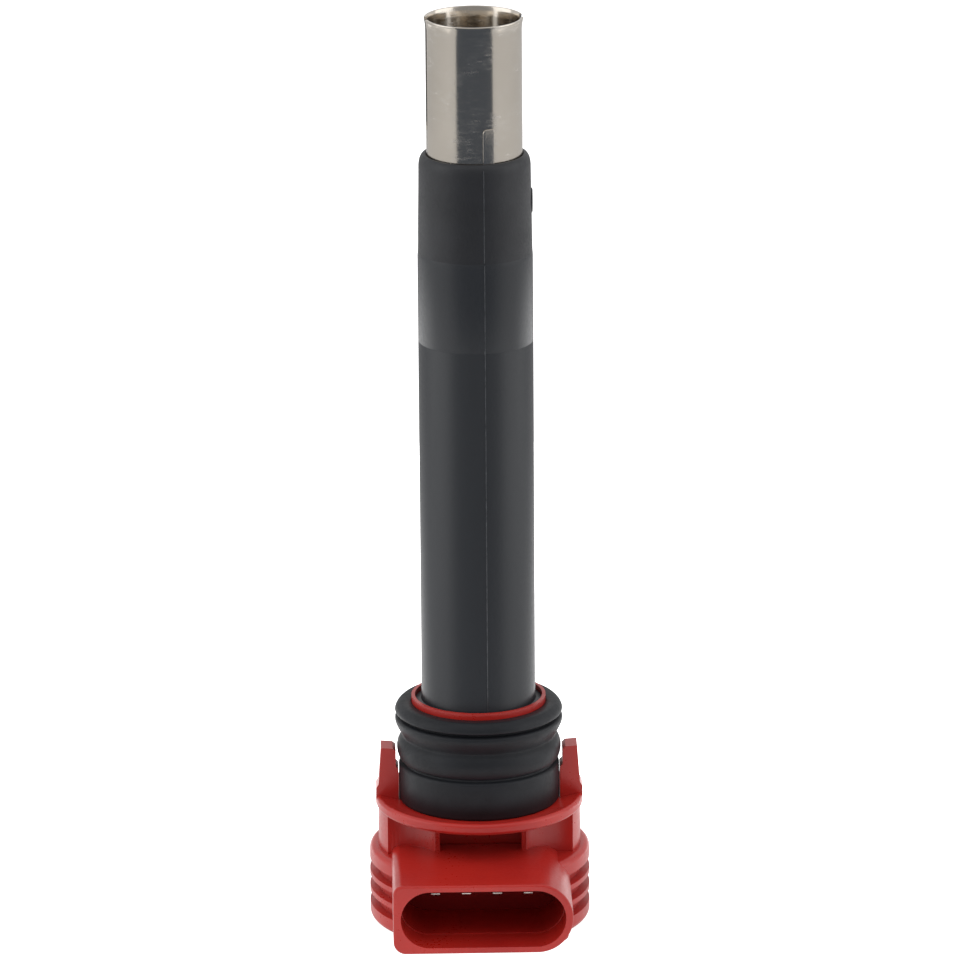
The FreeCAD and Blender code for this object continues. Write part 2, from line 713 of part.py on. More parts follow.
def contact_sleeve():
    """Plated spring sleeve, flared at the rim and split by two opposite slots."""
    inner = SLEEVE_R - SLEEVE_WALL
    bend = TOTAL_LENGTH - SLEEVE_FLARE_LENGTH
    body = turned([
        (inner, SLEEVE_ROOT_Z),
        (SLEEVE_R, SLEEVE_ROOT_Z),
        (SLEEVE_R, bend),
        (SLEEVE_R + SLEEVE_FLARE, TOTAL_LENGTH),
        (inner + SLEEVE_FLARE, TOTAL_LENGTH),
        (inner, bend),
    ])
    half = SLEEVE_SLOT_WIDTH / 2
    end_z = TOTAL_LENGTH - SLEEVE_SLOT_LENGTH
    span = SLEEVE_R + 2
    slot = block(-span, span, -half, half, end_z, TOTAL_LENGTH + 1)
    relief = Part.makeCylinder(half, 2 * span, V(-span, 0, end_z), V(1, 0, 0))
    slot = fuse(slot, [relief])
    slot.rotate(V(0, 0, 0), UP, SLEEVE_SLOT_TURN)
    return body.cut(slot)


def end_collar():
    """Rubber collar: a root in the end of the tube and a tapered body around the sleeve."""
    inner = SLEEVE_R + SLIP
    top = END_COLLAR_TOP_Z
    lip = END_COLLAR_TOP_R - END_COLLAR_LIP_R
    body = turned([
        (inner, SLEEVE_ROOT_Z),
        (TUBE_BORE_R - SLIP, SLEEVE_ROOT_Z),
        (TUBE_BORE_R - SLIP, TUBE_TOP_Z),
        (END_COLLAR_BASE_R, TUBE_TOP_Z),
        (END_COLLAR_TOP_R, top - 4 * lip),
        (END_COLLAR_LIP_R + 0.8 * lip, top - 1.2 * lip, "via"),
        (END_COLLAR_LIP_R, top),
        (inner, top),
    ])
    z_mid = top - VENT_BELOW_TOP
    boss = vent_oval(VENT_WIDE, VENT_TALL, z_mid, SLEEVE_R + 0.6, END_COLLAR_BASE_R + VENT_PROUD - 0.15)
    hole = vent_oval(VENT_WIDE - 1.0, VENT_TALL - 1.2, z_mid, SLEEVE_R + 0.8, END_COLLAR_BASE_R + 2)
    return fuse(body, [boss]).cut(hole)


def vent_oval(wide, tall, z_mid, x_low, x_high):
    outline_edges = plate_outline(-wide / 2, wide / 2, z_mid - tall / 2, z_mid + tall / 2, [wide / 2] * 4)
    solid = along_y(outline_edges, x_low, x_high)
    solid.rotate(V(0, 0, 0), UP, -90)
    return solid


# ---------------------------------------------------------------- fillings
def coil_resin(inner_pieces):
    """Casting resin: fills the tube from the head to the plug boot around all that is in it."""
    resin = cylinder(TUBE_BORE_R, TUBE_START_Z, RESIN_TOP_Z)
    for piece in inner_pieces:
        resin = resin.cut(piece)
    return resin


def head_potting(inner_pieces):
    """Soft potting: fills the head's space above the cover."""
    low = COVER_THICK
    filling = head_space()[2].common(cylinder(RIB_R, low, CUP_HEIGHT))
    upper = head_space()[3].common(cylinder(RIB_R, low, TUBE_START_Z))
    filling = fuse(filling, [upper])
    for piece in inner_pieces:
        filling = filling.cut(piece)
    return filling


def head_cover():
    """Flat lid in the head's open end, with a shallow ring pressed into its outer face."""
    plate = cylinder(COVER_R - SLIP, 0, COVER_THICK)
    groove = ring(COVER_R - 3.0, COVER_R - 4.0, -1, 0.3)
    return plate.cut(groove)


# ---------------------------------------------------------------- build
os.makedirs("parts", exist_ok=True)

blade_names = ["terminal_supply", "terminal_ground", "terminal_signal", "terminal_engine_ground"]
blades = [blade(index) for index in range(4)]
for blade_name, blade_solid in zip(blade_names, blades):
    save(blade_name, blade_solid)

save("head_housing", head_housing())
save("head_cover", head_cover())

electronics = {
    "driver_board": driver_board(),
    "power_switch": power_switch(),
    "heat_spreader": heat_spreader(),
    "driver_chip": driver_chip(),
    "board_capacitors": board_capacitors(),
    "lead_wires": lead_wires(),
}
for node_name, node_solid in electronics.items():
    save(node_name, node_solid)
save("head_potting", head_potting(list(electronics.values()) + blades))

core_rod, core_magnets, core_buffers = core_pieces()
coil_parts = {
    "outer_shield": shield(OUTER_SHIELD_R, 1),
    "inner_shield": shield(INNER_SHIELD_R, -1),
    "primary_bobbin": bobbin(PRIMARY_BOBBIN_R, PRIMARY_BORE_R, PRIMARY_WINDING_R, 1),
    "primary_winding": winding(PRIMARY_WINDING_R, PRIMARY_BOBBIN_R, 1),
    "secondary_bobbin": bobbin(SECONDARY_BOBBIN_R, SECONDARY_BORE_R, SECONDARY_WINDING_R,
                               SECONDARY_SECTIONS),
    "secondary_winding": winding(SECONDARY_WINDING_R, SECONDARY_BOBBIN_R, SECONDARY_SECTIONS),
    "core_rod": core_rod,
    "core_magnets": core_magnets,
    "core_buffers": core_buffers,
    "hv_terminal": hv_terminal(),
}
for node_name, node_solid in coil_parts.items():
    save(node_name, node_solid)
save("coil_resin", coil_resin(list(coil_parts.values()) + [electronics["lead_wires"]]))

save("coil_tube", coil_tube())
save("flange_seal", flange_seal())
save("end_collar", end_collar())
save("contact_sleeve", contact_sleeve())
save("plug_boot", plug_boot())
save("suppression_resistor", suppression_resistor())
save("contact_spring", contact_spring())
save("contact_cup", contact_cup())
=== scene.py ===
import math

import bpy
from mathutils import Matrix, Vector


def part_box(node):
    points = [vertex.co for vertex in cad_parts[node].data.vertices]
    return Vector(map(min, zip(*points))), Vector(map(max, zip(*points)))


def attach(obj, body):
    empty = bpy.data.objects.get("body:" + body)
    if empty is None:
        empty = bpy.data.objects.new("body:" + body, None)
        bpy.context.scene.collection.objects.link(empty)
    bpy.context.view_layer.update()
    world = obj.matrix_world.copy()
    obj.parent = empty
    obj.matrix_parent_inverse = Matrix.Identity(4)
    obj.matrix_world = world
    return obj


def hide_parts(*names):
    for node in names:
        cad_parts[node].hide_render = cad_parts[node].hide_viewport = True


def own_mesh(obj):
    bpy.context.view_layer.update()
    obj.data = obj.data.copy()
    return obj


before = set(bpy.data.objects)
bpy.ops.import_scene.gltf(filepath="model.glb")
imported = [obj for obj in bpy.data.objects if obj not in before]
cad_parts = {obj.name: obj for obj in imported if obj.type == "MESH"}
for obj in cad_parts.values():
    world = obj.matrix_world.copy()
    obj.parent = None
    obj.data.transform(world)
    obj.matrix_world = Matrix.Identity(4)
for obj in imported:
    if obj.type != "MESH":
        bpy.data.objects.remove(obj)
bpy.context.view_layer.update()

MM = 0.001
ROUND = 128


# ---------------------------------------------------------------- camera, light and floor
def look_from(azimuth, elevation, distance, target):
    """The place at that azimuth (0 looks along +Y) and elevation, in degrees, from the target."""
    a, e = math.radians(azimuth), math.radians(elevation)
    direction = Vector((math.sin(a) * math.cos(e), -math.cos(a) * math.cos(e), math.sin(e)))
    return target + direction * distance, direction


def add_camera():
    target = Vector((0.5, 0, 73.5)) * MM
    place, direction = look_from(azimuth=-1.2, elevation=16.75, distance=1.253, target=target)
    roll = math.radians(-0.42)
    camera = bpy.data.objects.new("camera", bpy.data.cameras.new("camera"))
    camera.data.lens = 292.8
    camera.data.clip_start = 0.05
    camera.matrix_world = (Matrix.Translation(place) @ direction.to_track_quat("Z", "Y").to_matrix().to_4x4()
                           @ Matrix.Rotation(roll, 4, "Z"))
    bpy.context.scene.collection.objects.link(camera)
    bpy.context.scene.camera = camera


def add_softbox(name, azimuth, elevation, distance, width, height, power, in_gloss=True):
    target = Vector((0, 0, 75)) * MM
    place, direction = look_from(azimuth, elevation, distance, target)
    lamp = bpy.data.lights.new(name, "AREA")
    lamp.shape = "RECTANGLE"
    lamp.size, lamp.size_y = width, height
    lamp.energy = power
    holder = bpy.data.objects.new(name, lamp)
    holder.matrix_world = Matrix.Translation(place) @ direction.to_track_quat("Z", "Y").to_matrix().to_4x4()
    holder.visible_camera = False
    holder.visible_glossy = in_gloss
    bpy.context.scene.collection.objects.link(holder)


def add_world():
    """White for the camera; for the object a room that is bright at the back and sides and dim in front."""
    world = bpy.data.worlds.new("studio")
    world.use_nodes = True
    nodes, links = world.node_tree.nodes, world.node_tree.links
    background = nodes["Background"]
    background.inputs["Color"].default_value = (1, 1, 1, 1)
    place = nodes.new("ShaderNodeTexCoord")
    split = nodes.new("ShaderNodeSeparateXYZ")
    links.new(place.outputs["Generated"], split.inputs["Vector"])
    room = nodes.new("ShaderNodeMapRange")
    for name, value in (("From Min", -0.80), ("From Max", -0.40), ("To Min", 0.34), ("To Max", 0.75)):
        room.inputs[name].default_value = value
    links.new(split.outputs["Y"], room.inputs["Value"])
    path = nodes.new("ShaderNodeLightPath")
    seen = nodes.new("ShaderNodeMix")
    links.new(path.outputs["Is Camera Ray"], seen.inputs["Factor"])
    links.new(room.outputs["Result"], seen.inputs["A"])
    seen.inputs["B"].default_value = 1.0
    links.new(seen.outputs["Result"], background.inputs["Strength"])
    bpy.context.scene.world = world


def plain_sheet(name, corners, height, shade, glow=0.0, glow_to_camera=0.0, tint=(1, 1, 1)):
    """A flat stage sheet through those corners, in metres, with a glow for the object and one for the camera."""
    bpy.ops.object.select_all(action="DESELECT")
    bpy.ops.mesh.primitive_plane_add(size=2, location=(0, 0, 0))
    card = bpy.context.object
    card.name = name
    for corner, (x, y) in zip(card.data.vertices, corners):
        corner.co = (x, y, height)
    material = bpy.data.materials.new(name + "_paper")
    material.use_nodes = True
    shader = material.node_tree.nodes["Principled BSDF"]
    shader.inputs["Base Color"].default_value = (*(shade * part for part in tint), 1)
    shader.inputs["Roughness"].default_value = 0.9
    shader.inputs["Specular IOR Level"].default_value = 0.1
    shader.inputs["Emission Color"].default_value = (1, 1, 1, 1)
    path = material.node_tree.nodes.new("ShaderNodeLightPath")
    lift = material.node_tree.nodes.new("ShaderNodeMapRange")
    lift.inputs["To Min"].default_value = glow
    lift.inputs["To Max"].default_value = glow_to_camera
    material.node_tree.links.new(path.outputs["Is Camera Ray"], lift.inputs["Value"])
    material.node_tree.links.new(lift.outputs["Result"], shader.inputs["Emission Strength"])
    card.data.materials.append(material)
    return card


def add_floor():
    """A pale floor, and cards the camera can't see: white under and behind the object, dark before it."""
    half, near, back, far, edge = 4.0, 0.13, 0.045, 1.6, 0.27
    spread = math.tan(math.radians(44))
    plain_sheet("floor", [(-half, -half), (half, -half), (-half, half), (half, half)], 0, 0.62,
                glow_to_camera=0.95)
    cards = [
        plain_sheet("dark_card", [(-far * spread, -far), (far * spread, -far),
                                  (-near * spread, -near), (near * spread, -near)], 0.4 * MM, 0.085,
                    tint=(0.80, 0.95, 1.20)),
        plain_sheet("under_card", [(-edge, -near), (edge, -near), (-edge, back), (edge, back)],
                    0.4 * MM, 0.7, glow=0.45),
        plain_sheet("bright_card", [(-edge, back), (edge, back), (-edge, edge), (edge, edge)],
                    0.4 * MM, 0.7, glow=1.35)]
    for card in cards:
        card.visible_camera = False
        card.visible_shadow = False


# ---------------------------------------------------------------- finishes
class Finish:
    """A material being built: its nodes, its shader and the place each pattern reads."""

    def __init__(self, name, metallic=0.0, gloss=0.5):
        self.material = bpy.data.materials.new(name)
        self.material.use_nodes = True
        self.tree = self.material.node_tree
        self.shader = self.tree.nodes["Principled BSDF"]
        self.shader.inputs["Metallic"].default_value = metallic
        self.shader.inputs["Specular IOR Level"].default_value = gloss
        self.place = self.tree.nodes.new("ShaderNodeTexCoord").outputs["Object"]

    def node(self, kind, **settings):
        made = self.tree.nodes.new(kind)
        for name, value in settings.items():
            if name in made.inputs:
                made.inputs[name].default_value = value
            else:
                setattr(made, name, value)
        return made

    def noise(self, scale, detail=3.0, stretch=(1, 1, 1), rough=0.55):
        """Cloudy noise, so many patches to the metre, drawn out along the axes whose stretch is below 1."""
        mapping = self.node("ShaderNodeMapping")
        mapping.inputs["Scale"].default_value = stretch
        self.tree.links.new(self.place, mapping.inputs["Vector"])
        cloud = self.node("ShaderNodeTexNoise", Scale=scale, Detail=detail, Roughness=rough)
        self.tree.links.new(mapping.outputs["Vector"], cloud.inputs["Vector"])
        return cloud.outputs["Fac"]

    def span(self, source, low, high, start=0.3, end=0.7):
        """The source's start to end spread over low to high."""
        ranged = self.node("ShaderNodeMapRange")
        for name, value in (("From Min", start), ("From Max", end), ("To Min", low), ("To Max", high)):
            ranged.inputs[name].default_value = value
        self.tree.links.new(source, ranged.inputs["Value"])
        return ranged.outputs["Result"]

    def blend(self, factor, first, second):
        """Colour from first to second by the factor; first is a colour or another blend."""
        mix = self.node("ShaderNodeMix", data_type="RGBA")
        self.tree.links.new(factor, mix.inputs[0])
        for socket, value in ((mix.inputs[6], first), (mix.inputs[7], second)):
            if isinstance(value, tuple):
                socket.default_value = (*value, 1)
            else:
                self.tree.links.new(value, socket)
        return mix.outputs[2]

    def join(self, first, second, how="ADD"):
        maths = self.node("ShaderNodeMath", operation=how)
        self.tree.links.new(first, maths.inputs[0])
        if isinstance(second, float):
            maths.inputs[1].default_value = second
        else:
            self.tree.links.new(second, maths.inputs[1])
        return maths.outputs[0]

    def colour(self, source):
        self.tree.links.new(source, self.shader.inputs["Base Color"])

    def roughness(self, source):
        self.tree.links.new(source, self.shader.inputs["Roughness"])

    def bump(self, height, depth, strength=1.0):
        """Relief of that depth in millimetres."""
        relief = self.node("ShaderNodeBump", Strength=strength, Distance=depth * MM)
        self.tree.links.new(height, relief.inputs["Height"])
        self.tree.links.new(relief.outputs["Normal"], self.shader.inputs["Normal"])


def moulded(name, light, dark, rough, gloss=0.5, patch=70, grain=1800, depth=0.012, stretch=(1, 1, 1)):
    """Moulded plastic or rubber: slow drift of shade, and a fine grain in its gloss and relief."""
    made = Finish(name, gloss=gloss)
    drift = made.noise(patch, stretch=stretch)
    fine = made.noise(grain, detail=2.0)
    made.colour(made.blend(made.span(drift, 0.0, 1.0), light, dark))
    made.roughness(made.span(made.join(drift, fine, "MULTIPLY"), rough[0], rough[1], 0.1, 0.45))
    made.bump(fine, depth)
    return made.material


def metal(name, light, dark, rough, patch=300, grain=2600, depth=0.006, stretch=(1, 1, 1)):
    """Plated or drawn metal: shade and gloss wander along the way it was drawn."""
    made = Finish(name, metallic=1.0)
    drift = made.noise(patch, stretch=stretch)
    fine = made.noise(grain, detail=2.0, stretch=stretch)
    made.colour(made.blend(made.span(drift, 0.0, 1.0), light, dark))
    made.roughness(made.span(made.join(drift, fine, "MULTIPLY"), rough[0], rough[1], 0.12, 0.42))
    made.bump(fine, depth)
    return made.material


def wound(name, light, dark, turns_per_metre, depth):
    """A winding: rings of lacquered wire up the axis, each turn a little lighter or darker."""
    made = Finish(name, metallic=0.7)
    wave = made.node("ShaderNodeTexWave", bands_direction="Z", Scale=turns_per_metre / math.tau)
    made.tree.links.new(made.place, wave.inputs["Vector"])
    drift = made.noise(900, stretch=(0.1, 0.1, 1))
    made.colour(made.blend(made.span(drift, 0.0, 1.0), light, dark))
    made.roughness(made.span(drift, 0.2, 0.4))
    made.bump(wave.outputs["Fac"], depth)
    return made.material


def scuffed_plating():
    """Nickel on the sleeve: warm grey, rubbed dull in short level streaks where a plug well has held it."""
    made = Finish("sleeve_nickel", metallic=1.0)
    drift = made.noise(110, stretch=(1, 1, 0.5))
    streak = made.noise(520, detail=3.0, stretch=(0.8, 0.8, 4), rough=0.65)
    where = made.noise(170, detail=4.0, rough=0.7)
    marks = made.span(made.join(streak, where, "MULTIPLY"), 0.0, 1.0, 0.244, 0.40)
    plate = made.blend(made.span(drift, 0.0, 1.0), (0.66, 0.605, 0.535), (0.58, 0.53, 0.465))
    made.colour(made.blend(made.span(marks, 0.0, 0.35, 0.0, 1.0), plate, (0.66, 0.64, 0.61)))
    made.roughness(made.span(marks, 0.15, 0.30, 0.0, 1.0))
    made.bump(marks, 0.006)
    return made.material


def make_finishes():
    red_light, red_dark = (0.47, 0.021, 0.014), (0.37, 0.014, 0.011)
    return {
        "red": moulded("red_polyester", red_light, red_dark, (0.26, 0.40), gloss=0.5, depth=0.010),
        # a darker, duller copy of the red for the back wall of the connector cavity: its darker colour is painted
        # shade of the deep cavity
        "red_painted_shade": moulded("red_polyester_painted_shade", (0.30, 0.010, 0.009), (0.25, 0.008, 0.008), (0.5, 0.6),
                              gloss=0.12),
        "red_cover": moulded("red_cover_polyester", red_light, red_dark, (0.30, 0.42), depth=0.016),
        "tube": moulded("tube_black", (0.025, 0.0275, 0.032), (0.019, 0.021, 0.025), (0.34, 0.46), gloss=0.42,
                        patch=90, depth=0.008, stretch=(1, 1, 0.12)),
        "flash": moulded("mould_flash", (0.075, 0.080, 0.088), (0.030, 0.033, 0.038), (0.4, 0.55), patch=900),
        "collar": moulded("collar_rubber", (0.024, 0.025, 0.029), (0.018, 0.019, 0.022), (0.42, 0.56), gloss=0.4,
                          patch=160, depth=0.014),
        "seal": moulded("seal_rubber_black", (0.0125, 0.014, 0.0175), (0.009, 0.010, 0.0125), (0.44, 0.58),
                        gloss=0.28, patch=200, depth=0.012),
        "silicone": moulded("boot_silicone", (0.055, 0.055, 0.06), (0.04, 0.04, 0.045), (0.45, 0.6), patch=150),
        "potting": moulded("soft_potting", (0.035, 0.030, 0.026), (0.022, 0.019, 0.017), (0.25, 0.45), patch=110),
        "resin": moulded("casting_epoxy", (0.030, 0.020, 0.014), (0.018, 0.012, 0.009), (0.18, 0.32), patch=90),
        "board": moulded("board_green", (0.010, 0.085, 0.030), (0.008, 0.060, 0.022), (0.22, 0.36), patch=420,
                         grain=3000, depth=0.02),
        "chip": moulded("chip_epoxy", (0.020, 0.020, 0.021), (0.013, 0.013, 0.014), (0.45, 0.6), patch=500),
        "chip_cap": moulded("ceramic_tan", (0.30, 0.20, 0.11), (0.24, 0.155, 0.085), (0.4, 0.55), patch=700),
        "bobbin": moulded("bobbin_nylon", (0.60, 0.55, 0.44), (0.50, 0.455, 0.36), (0.35, 0.5), patch=120),
        "magnet": moulded("magnet_ferrite", (0.045, 0.045, 0.05), (0.03, 0.03, 0.034), (0.35, 0.55), patch=260,
                          depth=0.02),
        "buffer": moulded("buffer_foam", (0.06, 0.055, 0.05), (0.035, 0.032, 0.03), (0.75, 0.9), grain=2400,
                          depth=0.08),
        "resistor": moulded("resistor_enamel", (0.36, 0.28, 0.17), (0.29, 0.22, 0.13), (0.3, 0.45), patch=240),
        "primary": wound("primary_wire", (0.62, 0.22, 0.08), (0.50, 0.16, 0.06), 2400, 0.12),
        "secondary": wound("secondary_wire", (0.55, 0.17, 0.06), (0.44, 0.13, 0.05), 9000, 0.03),
        "wire": metal("lead_wire_lacquer", (0.62, 0.22, 0.08), (0.50, 0.16, 0.06), (0.22, 0.36)),
        "shield": metal("silicon_steel", (0.42, 0.42, 0.43), (0.34, 0.34, 0.36), (0.3, 0.48), stretch=(1, 1, 0.1)),
        "core": metal("core_laminations", (0.36, 0.36, 0.37), (0.22, 0.22, 0.23), (0.35, 0.5), patch=900,
                      depth=0.05, stretch=(1, 0.05, 0.02)),
        "spreader": metal("spreader_copper", (0.70, 0.52, 0.38), (0.60, 0.44, 0.32), (0.28, 0.42)),
        "tin": metal("blade_tin", (0.70, 0.68, 0.64), (0.56, 0.54, 0.50), (0.20, 0.38), patch=500,
                     stretch=(1, 0.2, 1)),
        "brass": metal("turned_brass", (0.78, 0.56, 0.24), (0.66, 0.46, 0.19), (0.2, 0.34), stretch=(0.3, 0.3, 1)),
        "spring": metal("spring_wire", (0.60, 0.60, 0.61), (0.46, 0.46, 0.48), (0.18, 0.32)),
        "sleeve": scuffed_plating(),
        "fold": metal("sleeve_fold_nickel", (0.66, 0.61, 0.55), (0.56, 0.52, 0.47), (0.16, 0.28)),
    }


CAD_FINISH = {
    "head_potting": "potting", "driver_board": "board", "power_switch": "chip", "driver_chip": "chip",
    "heat_spreader": "spreader", "board_capacitors": "chip_cap", "lead_wires": "wire",
    "outer_shield": "shield", "inner_shield": "shield", "primary_bobbin": "bobbin",
    "primary_winding": "primary", "secondary_bobbin": "bobbin", "secondary_winding": "secondary",
    "core_rod": "core", "core_magnets": "magnet", "core_buffers": "buffer", "coil_resin": "resin",
    "hv_terminal": "brass", "suppression_resistor": "resistor", "contact_cup": "brass",
    "plug_boot": "silicone",
}


def paint_cad_nodes(finishes):
    for node, finish in CAD_FINISH.items():
        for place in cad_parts[node].material_slots:
            place.material = finishes[finish]


# ---------------------------------------------------------------- modelling by hand
def box_mm(node):
    low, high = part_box(node)
    return Vector(low) / MM, Vector(high) / MM


def start_afresh():
    bpy.ops.object.select_all(action="DESELECT")


def pick(*pieces):
    """Select these pieces only; the last is the active one."""
    start_afresh()
    for piece in pieces:
        piece.select_set(True)
    bpy.context.view_layer.objects.active = pieces[-1]


def put_place_in_mesh(piece):
    pick(piece)
    bpy.ops.object.transform_apply(location=True, rotation=True, scale=True)


def apply_all(piece):
    pick(piece)
    for modifier in list(piece.modifiers):
        bpy.ops.object.modifier_apply(modifier=modifier.name)


def tidy(piece, merge=0.001):
    """Merge doubles and turn every face outwards."""
    pick(piece)
    bpy.ops.object.mode_set(mode="EDIT")
    bpy.ops.mesh.select_all(action="SELECT")
    bpy.ops.mesh.remove_doubles(threshold=merge * MM)
    bpy.ops.mesh.normals_make_consistent(inside=False)
    bpy.ops.object.mode_set(mode="OBJECT")


def smooth(piece, angle=32):
    pick(piece)
    bpy.ops.object.shade_smooth_by_angle(angle=math.radians(angle))


def bevel(piece, width, segments=2, angle=35):
    """Round off the sharp edges by that width in millimetres."""
    rounding = piece.modifiers.new("rounding", "BEVEL")
    rounding.width = width * MM
    rounding.segments = segments
    rounding.limit_method = "ANGLE"
    rounding.angle_limit = math.radians(angle)
    apply_all(piece)


def turned(name, outline, sides=ROUND):
    """A round piece drawn ring by ring round its outline of (radius, z), the last ring closing on the first."""
    start_afresh()
    radius, z = outline[0]
    bpy.ops.mesh.primitive_circle_add(vertices=sides, radius=radius * MM, location=(0, 0, z * MM))
    piece = bpy.context.object
    piece.name = name
    put_place_in_mesh(piece)
    bpy.ops.object.mode_set(mode="EDIT")
    for next_radius, next_z in outline[1:] + outline[:1]:
        bpy.ops.mesh.extrude_region_move(TRANSFORM_OT_translate={"value": (0, 0, (next_z - z) * MM)})
        bpy.ops.transform.resize(value=(next_radius / radius, next_radius / radius, 1),
                                 center_override=(0, 0, next_z * MM))
        radius, z = next_radius, next_z
    bpy.ops.object.mode_set(mode="OBJECT")
    tidy(piece)
    return piece


def box_piece(name, low, high, rounding=0.0, segments=2):
    """A bar between two corners, in millimetres, with its edges rounded off."""
    start_afresh()
    low, high = Vector(low), Vector(high)
    bpy.ops.mesh.primitive_cube_add(size=1, location=(low + high) / 2 * MM)
    piece = bpy.context.object
    piece.name = name
    piece.scale = (high - low) * MM
    put_place_in_mesh(piece)
    if rounding:
        bevel(piece, rounding, segments)
    return piece


def bevel_corner(piece, x, z, radius, segments):
    """Round the one corner of a plate that runs along Y at that x and z."""
    pick(piece)
    bpy.ops.object.mode_set(mode="EDIT")
    bpy.ops.mesh.select_all(action="DESELECT")
    bpy.ops.mesh.select_mode(type="EDGE")
    bpy.ops.object.mode_set(mode="OBJECT")
    for edge in piece.data.edges:
        ends = [piece.data.vertices[index].co for index in edge.vertices]
        edge.select = all(abs(end.x - x * MM) + abs(end.z - z * MM) < 0.01 * MM for end in ends)
    bpy.ops.object.mode_set(mode="EDIT")
    bpy.ops.mesh.bevel(offset=radius * MM, segments=segments, affect="EDGES")
    bpy.ops.mesh.select_mode(type="VERT")
    bpy.ops.object.mode_set(mode="OBJECT")


def swing(piece, degrees):
    """Turn the piece about the object's axis, anticlockwise seen from above."""
    piece.rotation_euler = (0, 0, math.radians(degrees))
    put_place_in_mesh(piece)


def cut(piece, tool):
    """Cut the tool's shape out of the piece."""
    cutting = piece.modifiers.new("cutting", "BOOLEAN")
    cutting.operation = "DIFFERENCE"
    cutting.solver = "EXACT"
    cutting.object = tool
    apply_all(piece)
    bpy.data.objects.remove(tool)


def join(piece, *others):
    """The others become part of the piece."""
    pick(*others, piece)
    bpy.ops.object.join()
    return piece


def settle(piece, node, finish, body="root", angle=32):
    """Give the piece its finish, and let it stand for its CAD node on its body."""
    if not piece.data.materials or piece.data.materials[0] is not finish:
        piece.data.materials.clear()
        piece.data.materials.append(finish)
    smooth(piece, angle)
    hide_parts(node)
    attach(piece, body)


def even_out(piece):
    """Flat faces keep their own shading, whatever roundings meet them."""
    pick(piece)
    evening = piece.modifiers.new("evening", "WEIGHTED_NORMAL")
    evening.keep_sharp = True
    apply_all(piece)


def rounded_copy(node, name, width, segments=2, angle=30):
    """A copy of a CAD node, its triangles joined into whole faces and its edges rounded off."""
    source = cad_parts[node]
    piece = source.copy()
    piece.data = source.data.copy()
    piece.name = name
    bpy.context.scene.collection.objects.link(piece)
    piece.parent = None
    piece.matrix_world = Matrix.Identity(4)
    for key in list(piece.keys()):
        del piece[key]
    pick(piece)
    bpy.ops.mesh.customdata_custom_splitnormals_clear()
    bpy.ops.object.mode_set(mode="EDIT")
    bpy.ops.mesh.select_all(action="SELECT")
    bpy.ops.mesh.remove_doubles(threshold=0.002 * MM)
    bpy.ops.mesh.dissolve_limited(angle_limit=math.radians(0.6))
    bpy.ops.object.mode_set(mode="OBJECT")
    bevel(piece, width, segments, angle)
    return piece


# ---------------------------------------------------------------- pieces
SEAM_TURN = 8
SEAL_OUTLINE = [
    (10.9, 0.1), (11.0, 0), (12.6, 0), (12.88, 0.1), (13.0, 0.38), (13.0, 5.85), (12.94, 6.15), (12.78, 6.32),
    (12.5, 6.4), (12.38, 6.48), (12.38, 6.72), (12.56, 6.86), (12.84, 7.1), (13.05, 7.5), (13.2, 8.0),
    (13.28, 8.55), (13.28, 9.1), (13.18, 9.65), (13.0, 10.1), (12.76, 10.48), (12.55, 10.72), (12.43, 10.88),
    (12.42, 11.02), (12.5, 11.22), (12.68, 11.52), (12.95, 11.95), (13.22, 12.45), (13.42, 12.9),
    (13.53, 13.25), (13.57, 13.55), (13.54, 13.85), (13.42, 14.05), (13.15, 14.16), (12.8, 14.2), (12.7, 14.28),
    (12.7, 14.52), (12.8, 14.62), (13.2, 14.72), (13.43, 14.8), (13.54, 14.96), (13.57, 15.12), (13.53, 15.3),
    (13.44, 15.55), (13.3, 15.8), (13.12, 16.03), (12.92, 16.22), (12.76, 16.36), (12.62, 16.45),
    (12.3, 16.5), (11.0, 16.5), (10.9, 16.4)]


def tube_piece(finish, flash_finish):
    """The black tube: a thicker root in the ring of the head, then a plain wall with a faint step."""
    low, high = box_mm("coil_tube")
    bore, wall, root = 8.3, 9.2, 10.25
    root_top = high.z - 74.9
    tube = turned("coil_tube_moulding", [
        (bore, low.z + 0.1), (bore + 0.1, low.z), (root - 0.15, low.z), (root, low.z + 0.15),
        (root, root_top - 0.25), (root - 0.08, root_top - 0.07), (root - 0.25, root_top),
        (wall + 0.35, root_top + 0.02), (wall + 0.1, root_top + 0.12), (wall, root_top + 0.4),
        (wall, 96.9), (wall - 0.03, 96.96), (wall - 0.03, 97.04), (wall, 97.12),
        (wall, high.z - 0.8), (wall - 0.03, high.z - 0.3), (wall - 0.07, high.z), (bore + 0.1, high.z),
        (bore, high.z - 0.1)])
    seam = box_piece("seam", (-0.08, -wall - 0.07, root_top + 0.3), (0.08, -wall + 0.1, high.z - 0.2), 0.04)
    nick = box_piece("nick", (-0.16, -wall - 0.1, 97.0), (0.12, -wall + 0.1, 97.5), 0.05)
    for flash in (seam, nick):
        swing(flash, SEAM_TURN)
        flash.data.materials.append(flash_finish)
    tube.data.materials.append(finish)
    join(tube, seam, nick)
    settle(tube, "coil_tube", finish)


